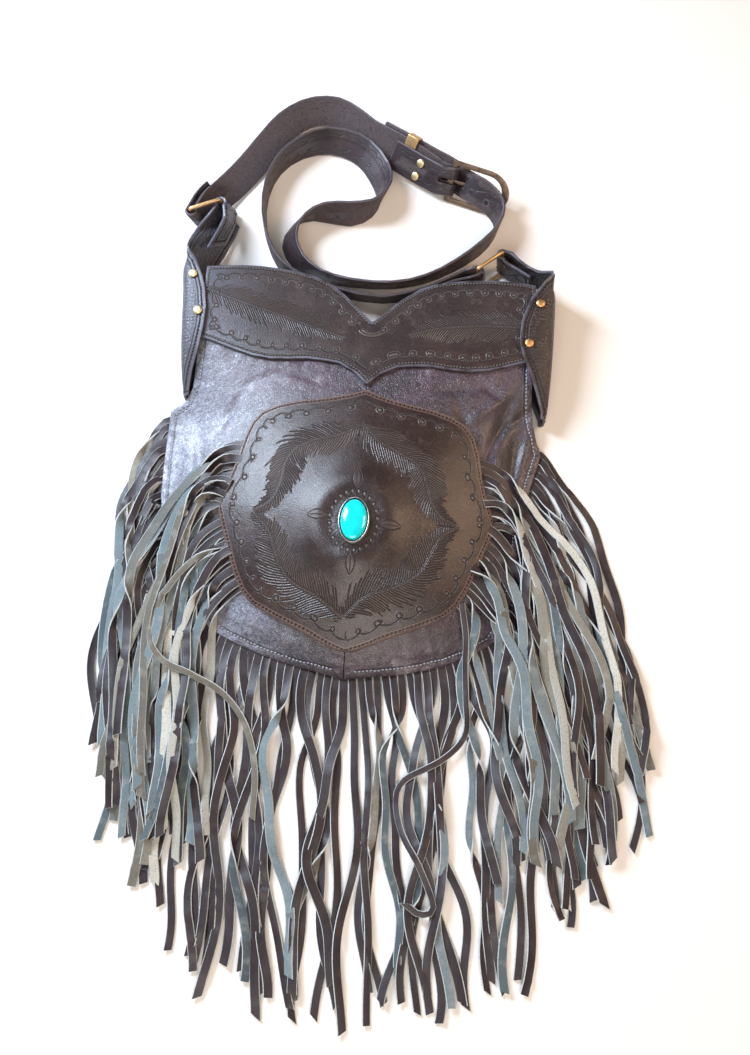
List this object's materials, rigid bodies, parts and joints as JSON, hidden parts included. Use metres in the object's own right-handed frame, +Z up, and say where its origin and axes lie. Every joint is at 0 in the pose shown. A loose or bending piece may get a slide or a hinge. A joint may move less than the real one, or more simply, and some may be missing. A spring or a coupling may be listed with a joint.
{
  "type": "fringed hobo bag",
  "caption": "Soft leather hobo bag lying on its back, with a tooled shield holding an oval stone, tooled yoke, fringe at the seams and a buckled shoulder strap.",
  "frame": {"origin": "back panel's outer face, straight below the shield's middle", "axes": "+X to the bag's right seen from above, +Y from the bottom seam to the strap, +Z up off the surface that the bag lies on"},
  "size_m": [0.4926, 0.8885, 0.0728],
  "materials": {
    "tooled_leather": "satin",
    "soft_leather": "satin",
    "fringe_suede": "matte",
    "brass": "satin",
    "bronze": "satin",
    "setting_metal": "satin",
    "turquoise": "gloss"
  },
  "bodies": {
    "root": {"back_panel": "soft_leather", "buckle_frame": "bronze", "buckle_prong": "bronze", "fringe_bottom": "fringe_suede", "fringe_shield_left": "fringe_suede", "fringe_shield_right": "fringe_suede", "fringe_side_left": "fringe_suede", "fringe_side_right": "fringe_suede", "front_panel_left": "soft_leather", "front_panel_right": "soft_leather", "gusset_left": "tooled_leather", "gusset_right": "tooled_leather", "ring_left": "brass", "ring_right": "brass", "rivet_back_left_1": "brass", "rivet_back_left_2": "brass", "rivet_back_right_1": "brass", "rivet_back_right_2": "brass", "rivet_front_left_1": "brass", "rivet_front_left_2": "brass", "rivet_front_right_1": "brass", "rivet_front_right_2": "brass", "rivet_strap_buckle_1": "brass", "rivet_strap_buckle_2": "brass", "rivet_strap_ring": "brass", "rivet_tab_left_1": "brass", "rivet_tab_left_2": "brass", "rivet_tab_right_1": "brass", "rivet_tab_right_2": "brass", "shield": "tooled_leather", "stone": "turquoise", "stone_bezel": "setting_metal", "strap_keeper": "brass", "strap_long": "tooled_leather", "strap_short": "tooled_leather", "yoke_back": "tooled_leather", "yoke_front": "tooled_leather"}
  },
  "joints": []
}
